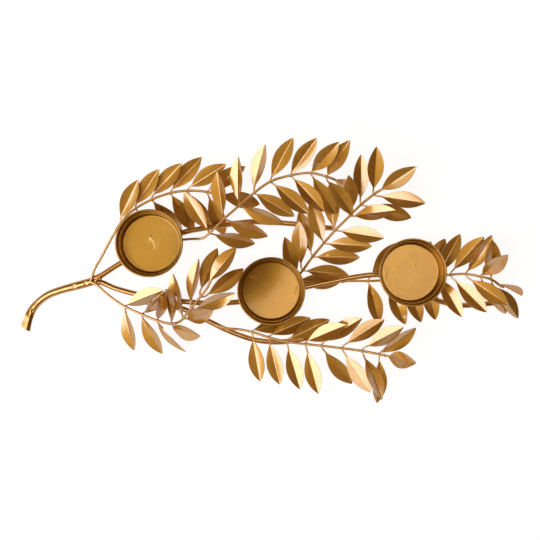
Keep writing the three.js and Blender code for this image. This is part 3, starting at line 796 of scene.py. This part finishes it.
# %% Sprigs of the middle and the lower rod
SPRIGS |= {
    "center_sprig": {
        "root": ("middle_branch", 238, -50),
        "route": [
            (34, -10, 16), (41, -1, 18), (54, 17, 21.5), (68, 34, 24.5), (82, 50, 27), (100, 68, 30),
            (113, 81, 33.5), (129, 94, 37), (140, 101, 40),
        ],
        "pairs": [
            (26, (58, 17, 17, 5), (48, -9, 0, 7)),
            (41, (40, 12, -13, 11), (59, -4, -6, 7)),
            (63, (53, -4, 6, 8), (53, 5, -4, 7)),
            (85, (58, 13, -10, 5), (53, 12, -1, 8)),
            (107, (50, 3, -10, 5), (57, 18, 2, 10)),
            (133, (51, 42, 12, 8), (39, 30, -15, 8)),
            (152, (50, 22, 5, 11), (56, -1, 2, 13)),
            (172, (54, 30, 3, 10), (46, 13, 0, 12)),
        ],
        "tip": (0, 38, 4),
    },
    "lower_sprig": {
        "root": ("lower_branch", 100, 70),
        "route": [
            (-38, -75, 23), (-23, -78, 24), (-1, -85, 24.5), (20, -90, 25), (44, -93, 26), (64, -95, 27),
            (90, -98, 29), (114, -101, 31.5), (136, -105, 34), (150, -108, 36),
        ],
        "pairs": [
            (42, (27, -13, 2, 5), (66, -4, 10, 12)),
            (64, (38, -8, -10, 7), (61, -4, 10, 10)),
            (87, (35, -1, -3, 9), (64, -2, 2, 11)),
            (111, (32, 24, -18, 8), (69, -1, 8, 13)),
            (131, (41, 17, -24, 11), (44, -8, 18, 12)),
            (157, (40, 4, -19, 12), (50, 7, 12, 13)),
            (182, (42, 31, -21, 13), (60, 20, -24, 13)),
            (204, (48, 20, 27, 5), (80, -4, -18, 10)),
        ],
        "tip": (7, 65, 3),
    },
    "right_sprig": {
        "root": ("middle_branch", 318, 230),
        "route": [
            (125, -14, 15), (150, -13, 14), (173, -12, 13.8), (196, -9, 14), (213, -7, 15.5), (228, -6, 18),
            (246, -5, 23), (263, -8, 27.5), (278, -12, 28), (290, -20, 26),
        ],
        "pairs": [
            (35, (49, -3, -11, 11), (76, -7, -13, 5)),
            (60, (50, -8, 0, 8), (70, -3, 7, 9)),
            (83, (49, -8, 0, 8), (74, -6, 5, 7)),
            (106, (51, -8, 0, 6), (80, -8, 0, 6)),
            (124, (57, 5, -5, 7), (68, 17, 1, 8)),
            (139, (46, 14, -19, 11), (50, 9, 2, 13)),
            (158, (64, 24, 15, 7), (31, 8, 8, 13)),
            (177, (64, 58, 0, 6), (37, -19, -18, 13)),
            (192, (126, 36, 0, 7), (23, -14, -22, 13)),
        ],
        "tip": (-10, 74, -50),
    },
}
print(len(SPRIGS), "sprigs with", sum(len(sprig["pairs"]) for sprig in SPRIGS.values()), "pairs")

# %% [markdown]
# The stalk starts under one leaf, crosses below the wire and ends under the other leaf. It is bent at a
# shoulder beside the wire, so that it leaves the wire square and then turns towards the leaf. Leaves were
# bent by hand, so bow, camber and nub differ a little from leaf to leaf. Copies of one leaf would show no
# such differences, so each leaf is made anew, and a seeded random generator repeats them in every run.

# %% Leaf pairs on their stalks
WIRE_DIAMETER, STALK_DIAMETER = 3.2, 2.2
STALK_LAP, STALK_SHOULDER, STALK_STUB, SHOULDER_SPLAY = 7, 4.2, 3.5, 60
STALK_SIDES, STALK_STEP = 10, 1.2
PAIR_BEAD, PAIR_BEAD_RISE = (5.2, 3.8, 3.4), 1.2
LEAF_BOW, BOW_CHANGE, CAMBERS, NUBS = 2.5, (-0.9, 0.9), (-0.5, 0.7), (0.0, 0.0, 0.45, 0.6)
HAND = random.Random(46)


def hand_bent_leaf():
    nub = HAND.choice(NUBS)
    return leaf_shape(LEAF_BOW + HAND.uniform(*BOW_CHANGE), HAND.uniform(*CAMBERS), nub)


def leaf_pair(wire, at, leaves):
    """Shapes of two leaves, their stalk and the weld under the wire. A hidden leaf leaves only a stub."""
    point, ahead, _, above = wire.frame(at)
    crossing = point - above * ((WIRE_DIAMETER + STALK_DIAMETER) / 2 + CLEARANCE)
    course = math.degrees(math.atan2(ahead[1], ahead[0]))
    shapes, legs = [], []
    for hand, leaf in zip((1, -1), leaves):
        if leaf is None:
            legs.append([crossing + heading(course + 90 * hand) * STALK_STUB])
            continue
        splay, rise, roll, stalk = leaf
        bearing = course + hand * splay
        shoulder = crossing + heading(course + hand * max(splay, SHOULDER_SPLAY)) * STALK_SHOULDER
        direction = heading(bearing, rise)
        base = shoulder + direction * (stalk - STALK_SHOULDER)
        shapes.append(laid_on(hand_bent_leaf(), base, bearing, rise, roll, STALK_DIAMETER))
        legs.append([shoulder, base, base + direction * STALK_LAP])
    bends = [*legs[0][::-1], crossing, *legs[1]]
    shapes.append(swept(Route(bends).spaced(STALK_STEP), STALK_DIAMETER / 2, STALK_SIDES))
    shapes.append(weld_bead(crossing + above * PAIR_BEAD_RISE, ahead, PAIR_BEAD))
    return shapes


print("stalks of", STALK_DIAMETER, "mm under wires of", WIRE_DIAMETER, "mm")

# %% [markdown]
# Each wire is welded to the stem or to a rod, and its free end carries a single leaf. The two left wires
# meet in a V on top of the stem. Their pairs are measured along the CAD wires, which start beside the stem,
# so only the visible start of these two wires is moved.

# %% Wires and all sprigs
WIRE_SIDES, WIRE_STEP, WIRE_DENT = 14, 2.0, 0.06
STEM_DIAMETER = 10.4
STEM_TOP = ("main_stem", 119, 90)


def sprig_wire(wire, start, tip):
    """Shapes of the wire, from the points of its start to the lap under the single leaf on its own end."""
    splay, rise, roll = tip
    point, ahead, _, _ = wire.frame(wire.length)
    bearing = math.degrees(math.atan2(ahead[1], ahead[0])) + splay
    lap = point + heading(bearing, rise) * STALK_LAP
    path = Route([*start, *wire.points[len(start):], lap]).spaced(WIRE_STEP)
    return [
        swept(path, WIRE_DIAMETER / 2, WIRE_SIDES, WIRE_DENT),
        laid_on(hand_bent_leaf(), point, bearing, rise, roll, WIRE_DIAMETER),
    ]


for name, sprig in SPRIGS.items():
    carrier = rod_routes[sprig["root"][0]]
    thickness = STEM_DIAMETER if carrier is stem_route else ROD_DIAMETER
    root = welded_root(carrier, sprig["root"], (thickness + WIRE_DIAMETER) / 2 + CLEARANCE)
    wire = Route([*root, *sprig["route"]])
    if carrier is stem_route:
        root = welded_root(carrier, STEM_TOP, (thickness + WIRE_DIAMETER) / 2)
    add_piece(name, sprig_wire(wire, root, sprig["tip"]), "leaf_paint")
    leaf_count = 1
    for number, (at, *leaves) in enumerate(sprig["pairs"], start=1):
        add_piece(f"{name}_leaves_{number}", leaf_pair(wire, at, leaves), "leaf_paint")
        leaf_count += sum(leaf is not None for leaf in leaves)
    print(name, "wire of", round(wire.length), "mm with", leaf_count, "leaves")

# %% [markdown]
# ## Table
# The branch lies on a plain white table and throws a faint soft shadow on it. Enough lamp light to make the
# table white would wash out the gold. So the table is grey to the lamps, and glows for the camera and in
# mirrors, which the Light Path node tells apart from other rays. The shadow stays, because the lamps still
# add the last part of the white.

# %% White table
TABLE_HALF, TABLE_GREY, TABLE_GLOW = 30.0, 0.25, 0.87
TABLE_ROUGHNESS, TABLE_SHINE = 0.9, 0.1
mesh = bpy.data.meshes.new("white_table")
table_corners = [(x * TABLE_HALF, y * TABLE_HALF, 0) for x, y in ((-1, -1), (1, -1), (1, 1), (-1, 1))]
mesh.from_pydata(table_corners, [], [(0, 1, 2, 3)])
table = put_in_scene("white_table", mesh)
material, nodes, link = new_material("white_table")
shader, glow = nodes["Principled BSDF"], nodes.new("ShaderNodeEmission")
set_inputs(shader, {
    "Base Color": (TABLE_GREY, TABLE_GREY, TABLE_GREY, 1), "Roughness": TABLE_ROUGHNESS,
    "Specular IOR Level": TABLE_SHINE,
})
set_inputs(glow, {"Strength": TABLE_GLOW})
path, seen = nodes.new("ShaderNodeLightPath"), nodes.new("ShaderNodeMath")
seen.operation = "MAXIMUM"
link(path.outputs["Is Camera Ray"], seen.inputs[0])
link(path.outputs["Is Glossy Ray"], seen.inputs[1])
lit, choose = nodes.new("ShaderNodeAddShader"), nodes.new("ShaderNodeMixShader")
link(shader.outputs[0], lit.inputs[0])
link(glow.outputs[0], lit.inputs[1])
link(seen.outputs[0], choose.inputs[0])
link(shader.outputs[0], choose.inputs[1])
link(lit.outputs[0], choose.inputs[2])
link(choose.outputs[0], nodes["Material Output"].inputs["Surface"])
mesh.materials.append(material)
print("table of", 2 * TABLE_HALF, "m with a glow of", TABLE_GLOW)

# %% [markdown]
# ## Light
# A large soft lamp at the left makes the bright halves of the leaves, and one overhead, a little to the
# right, gives the cup floors their even gold. Polished metal mirrors the shape of a lamp. A point lamp would
# leave small hard spots, so both are large area lamps, which leave broad soft highlights.

# %% Two soft lamps
LAMP_DISTANCE = 2.2
# Azimuth and elevation in degrees, size in metres, watts and colour.
LAMPS = {
    "key_lamp": (203, 50, 1.9, 38, (1, 1, 1)),
    "overhead_lamp": (30, 82, 1.1, 10, (1.0, 0.92, 0.75)),
}
for name, (azimuth, elevation, size, watts, tint) in LAMPS.items():
    data = bpy.data.lights.new(name, "AREA")
    data.shape = "SQUARE"
    data.size, data.energy, data.color = size, watts, tint
    lamp = put_in_scene(name, data)
    away = Vector(heading(azimuth, elevation))
    lamp.location = away * LAMP_DISTANCE
    lamp.rotation_euler = (-away).to_track_quat("-Z", "Y").to_euler()
    lamp.visible_camera = False
    print(name, "of", watts, "W,", size, "m wide")

# %% [markdown]
# A polished cup floor is a mirror. In the middle cup it shows a soft dark patch, as if something dark hung
# above the table. Darker paint would stay in its place when the view changes, and a mirror image doesn't. So
# a small dark card hangs above the branch. It is seen only in mirrors and throws no shadow.

# %% Dark card
CARD_RADIUS, CARD_PLACE, CARD_SIDES = 0.07, (-0.046, 0.024, 0.14), 32
CARD_COLOR, CARD_WARMTH, CARD_GLOW = (0.05, 0.03, 0.015, 1), (1.0, 0.32, 0.05, 1), 0.13
mesh = bpy.data.meshes.new("camera_card")
turns = np.linspace(0, 2 * math.pi, CARD_SIDES, endpoint=False)
card_corners = [(CARD_RADIUS * math.cos(turn), CARD_RADIUS * math.sin(turn), 0) for turn in turns]
mesh.from_pydata(card_corners, [], [tuple(range(CARD_SIDES))[::-1]])
card = put_in_scene("camera_card", mesh)
card.location = CARD_PLACE
card.visible_camera = card.visible_shadow = False
material, nodes, _ = new_material("camera_black")
set_inputs(nodes["Principled BSDF"], {
    "Base Color": CARD_COLOR, "Emission Color": CARD_WARMTH, "Emission Strength": CARD_GLOW,
})
mesh.materials.append(material)
print("card", 2 * CARD_RADIUS, "m wide,", CARD_PLACE[2], "m above the table")

# %% [markdown]
# The rest of the room is what the other leaves mirror: a white wall low down, and a dim warm ceiling that
# turns the far halves of the leaves brown. An environment picture could give it, but a colour that changes
# only with height is enough, so the world is one colour ramp.

# %% Room
# Height on the sky, as the sine of the elevation, and colour.
WALL = 0.075, (0.97, 0.97, 0.97, 1)
ABOVE_WALL = 0.085, (0.24, 0.132, 0.053, 1)
CEILING = 0.35, (0.14, 0.077, 0.031, 1)
ROOM_STRENGTH = 1.0
world = bpy.data.worlds.new("studio")
bpy.context.scene.world = world
world.use_nodes = True
nodes, link = world.node_tree.nodes, world.node_tree.links.new
place, split = nodes.new("ShaderNodeTexCoord"), nodes.new("ShaderNodeSeparateXYZ")
ramp = nodes.new("ShaderNodeValToRGB")
stops = ramp.color_ramp.elements
stops[0].position, stops[0].color = WALL
stops[1].position, stops[1].color = CEILING
stops.new(ABOVE_WALL[0]).color = ABOVE_WALL[1]
link(place.outputs["Generated"], split.inputs[0])
link(split.outputs["Z"], ramp.inputs["Fac"])
link(ramp.outputs["Color"], nodes["Background"].inputs["Color"])
set_inputs(nodes["Background"], {"Strength": ROOM_STRENGTH})
print("room of", len(stops), "tones")

# %% [markdown]
# ## Camera
# The photo was taken from straight above. The routes were measured for a camera one metre over the middle of
# the bench drawing, so this camera hangs there. A new camera already looks down, so it is only moved.

# %% Camera
CAMERA_HEIGHT, SENSOR_WIDTH, FOCAL_LENGTH, CLIP_END = 1.0, 36, 51.67, 100
camera_data = bpy.data.cameras.new("camera")
camera_data.sensor_width, camera_data.lens, camera_data.clip_end = SENSOR_WIDTH, FOCAL_LENGTH, CLIP_END
camera = put_in_scene("camera", camera_data)
camera.location = (BENCH_SHIFT[0] * MM, BENCH_SHIFT[1] * MM, CAMERA_HEIGHT)
bpy.context.scene.camera = camera
bpy.context.scene.view_settings.view_transform = "Standard"
print("camera of", FOCAL_LENGTH, "mm,", CAMERA_HEIGHT, "m above the table")
